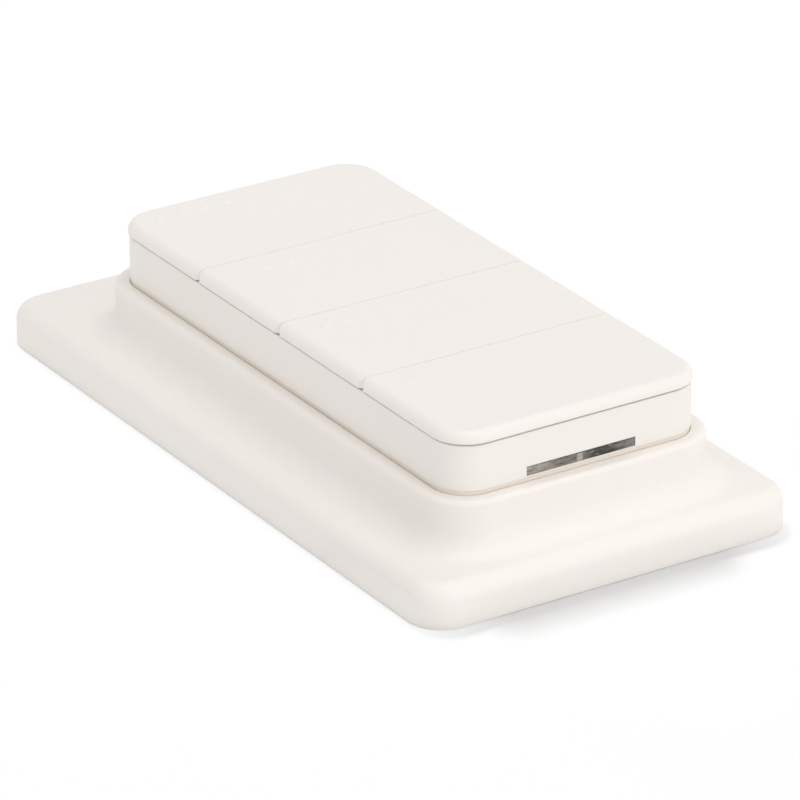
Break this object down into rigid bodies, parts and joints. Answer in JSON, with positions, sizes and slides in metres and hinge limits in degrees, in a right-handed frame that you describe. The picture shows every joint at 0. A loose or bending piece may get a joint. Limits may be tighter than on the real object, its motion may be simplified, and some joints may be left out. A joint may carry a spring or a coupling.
{
  "type": "wireless wall switch",
  "caption": "Wireless wall switch: a slim remote with four sprung push-button plates that lifts out of a moulded wall plate with a raised collar.",
  "frame": {"origin": "under the middle of the wall plate, in the plane of its back, which lies on the wall", "axes": "+Z out of the wall towards the user, +Y along the switch away from the signal window, +X to the right seen from the front with +Y up"},
  "size_m": [0.0602, 0.1142, 0.0234],
  "materials": {
    "plate_plastic": "satin",
    "strike_steel": "zinc plated",
    "housing_plastic": "satin",
    "cover_plastic": "satin",
    "button_plastic": "satin",
    "cell_steel": "polished",
    "contact_metal": "nickel flashed",
    "board_laminate": "solder resist",
    "switch_plastic": "moulded",
    "plunger_plastic": "moulded",
    "shield_metal": "tinned",
    "chip_resin": "moulded",
    "screw_steel": "zinc plated",
    "magnet_nickel": "nickel plated",
    "window_smoked": "smoked",
    "emitter_resin": "clear resin",
    "reflector_sheet": "bright"
  },
  "bodies": {
    "wall_mount": {"wall_plate": "plate_plastic", "cradle_base": "plate_plastic", "strike_plate": "strike_steel"},
    "remote": {"remote_housing": "housing_plastic", "back_cover": "cover_plastic", "coin_cell": "cell_steel", "negative_contact": "contact_metal", "positive_contact": "contact_metal", "circuit_board": "board_laminate", "tactile_switch_1": "switch_plastic", "tactile_switch_2": "switch_plastic", "tactile_switch_3": "switch_plastic", "tactile_switch_4": "switch_plastic", "radio_shield": "shield_metal", "controller_chip": "chip_resin", "antenna": "contact_metal", "board_parts": "chip_resin", "case_screws": "screw_steel", "magnets": "magnet_nickel", "signal_window": "window_smoked", "emitters": "emitter_resin", "reflector": "reflector_sheet"},
    "battery_door": {"battery_door": "cover_plastic"},
    "button_1": {"button_1": "button_plastic", "switch_plunger_1": "plunger_plastic"},
    "button_2": {"button_2": "button_plastic", "switch_plunger_2": "plunger_plastic"},
    "button_3": {"button_3": "button_plastic", "switch_plunger_3": "plunger_plastic"},
    "button_4": {"button_4": "button_plastic", "switch_plunger_4": "plunger_plastic"}
  },
  "joints": [
    {"name": "remote_lift", "type": "slide", "parent": "wall_mount", "child": "remote", "axis": [0, 0, 1], "range_m": [0, 0.04]},
    {"name": "door_turn", "type": "hinge", "parent": "remote", "child": "battery_door", "pos_m": [0, -0.004, 0.0103], "axis": [0, 0, 1], "range_deg": [0, 60]},
    {"name": "button_1_press", "type": "slide", "parent": "remote", "child": "button_1", "axis": [0, 0, -1], "range_m": [0, 0.0003], "stiffness_N_per_m": 2000, "springref_m": -0.0003},
    {"name": "button_2_press", "type": "slide", "parent": "remote", "child": "button_2", "axis": [0, 0, -1], "range_m": [0, 0.0003], "stiffness_N_per_m": 2000, "springref_m": -0.0003},
    {"name": "button_3_press", "type": "slide", "parent": "remote", "child": "button_3", "axis": [0, 0, -1], "range_m": [0, 0.0003], "stiffness_N_per_m": 2000, "springref_m": -0.0003},
    {"name": "button_4_press", "type": "slide", "parent": "remote", "child": "button_4", "axis": [0, 0, -1], "range_m": [0, 0.0003], "stiffness_N_per_m": 2000, "springref_m": -0.0003}
  ]
}
